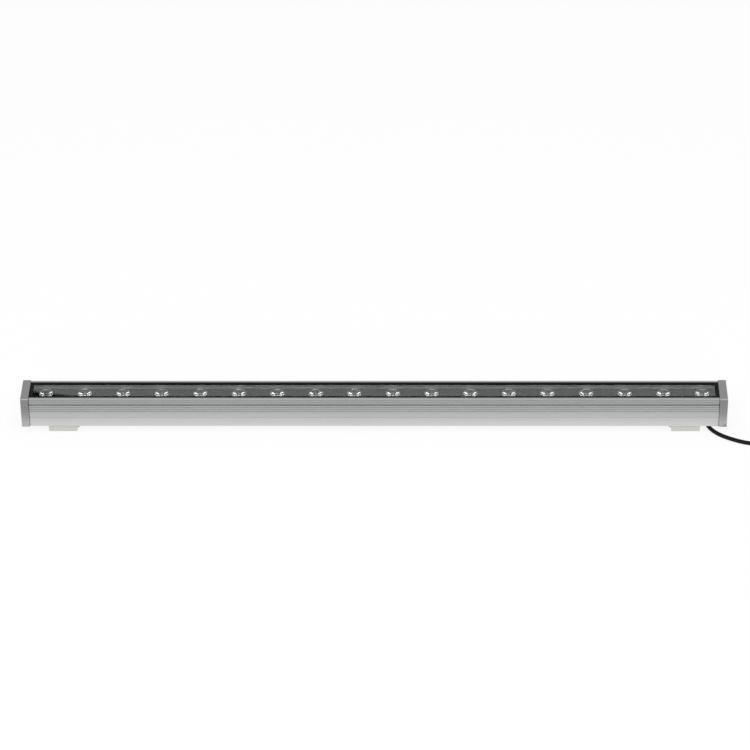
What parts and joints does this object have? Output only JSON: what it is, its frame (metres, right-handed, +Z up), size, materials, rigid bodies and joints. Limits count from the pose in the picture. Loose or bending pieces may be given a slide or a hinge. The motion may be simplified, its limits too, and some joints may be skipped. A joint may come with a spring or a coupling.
{
  "type": "led floodlight",
  "caption": "Linear wall-washer floodlight: ribbed aluminium bar, clear glass over a row of round lenses, end caps, sliding and tilting feet, black lead with a round connector.",
  "frame": {"origin": "on the surface under the feet, below the middle of the bar", "axes": "+X along the bar to the lead's end, +Y away from the viewer, +Z up through the glass"},
  "size_m": [1.2054, 0.0924, 0.0609],
  "materials": {
    "anodised_aluminium": "satin anodised",
    "cap_aluminium": "blasted and anodised",
    "bracket_aluminium": "satin",
    "cover_glass": "clear",
    "clear_acrylic": "clear moulded",
    "black_silicone": "matt",
    "dark_trim": "matt",
    "board_mask": "solder mask",
    "emitter_resin": "clear resin over phosphor",
    "holder_plastic": "moulded",
    "board_green": "solder mask",
    "component_black": "moulded",
    "lead_jacket": "extruded",
    "steel": "bright",
    "cord_rubber": "satin black",
    "tie_strap": "woven strap",
    "connector_plastic": "moulded",
    "contact_brass": "bright"
  },
  "bodies": {
    "lamp": {"housing_extrusion": "anodised_aluminium", "glass_cover": "cover_glass", "glass_seal": "black_silicone", "lens_trim_plate": "dark_trim", "led_board": "board_mask", "led_board_screws": "steel", "led_emitters": "emitter_resin", "lenses": "clear_acrylic", "lens_holders": "holder_plastic", "driver_board": "board_green", "driver_spacers": "holder_plastic", "driver_components": "component_black", "input_leads": "lead_jacket", "led_leads": "lead_jacket", "strain_relief": "cord_rubber", "outlet_washer": "black_silicone", "outlet_nut": "steel", "end_cap_left": "cap_aluminium", "end_cap_right": "cap_aluminium", "end_gasket_left": "black_silicone", "end_gasket_right": "black_silicone", "end_cap_screws_left": "steel", "end_cap_screws_right": "steel", "power_cord": "cord_rubber", "cord_tail": "cord_rubber", "cord_hank": "cord_rubber", "cord_tie": "tie_strap", "connector_body": "connector_plastic", "connector_ring": "connector_plastic", "connector_contacts": "contact_brass"},
    "left_carriage": {"slot_slider_left": "steel", "hanger_left": "bracket_aluminium", "clamp_bolt_left": "steel"},
    "left_foot": {"foot_left": "bracket_aluminium", "pivot_bolt_left": "steel", "pivot_washer_left": "steel"},
    "right_carriage": {"slot_slider_right": "steel", "hanger_right": "bracket_aluminium", "clamp_bolt_right": "steel"},
    "right_foot": {"foot_right": "bracket_aluminium", "pivot_bolt_right": "steel", "pivot_washer_right": "steel"}
  },
  "joints": [
    {"name": "left_slide", "type": "slide", "parent": "lamp", "child": "left_carriage", "axis": [1, 0, 0], "range_m": [-0.023, 0.41]},
    {"name": "left_tilt", "type": "hinge", "parent": "left_carriage", "child": "left_foot", "pos_m": [-0.4427, -0.012, 0.00875], "axis": [1, 0, 0], "range_deg": [-90, 12]},
    {"name": "right_slide", "type": "slide", "parent": "lamp", "child": "right_carriage", "axis": [1, 0, 0], "range_m": [-0.41, 0]},
    {"name": "right_tilt", "type": "hinge", "parent": "right_carriage", "child": "right_foot", "pos_m": [0.4427, -0.012, 0.00875], "axis": [1, 0, 0], "range_deg": [-90, 12]}
  ]
}
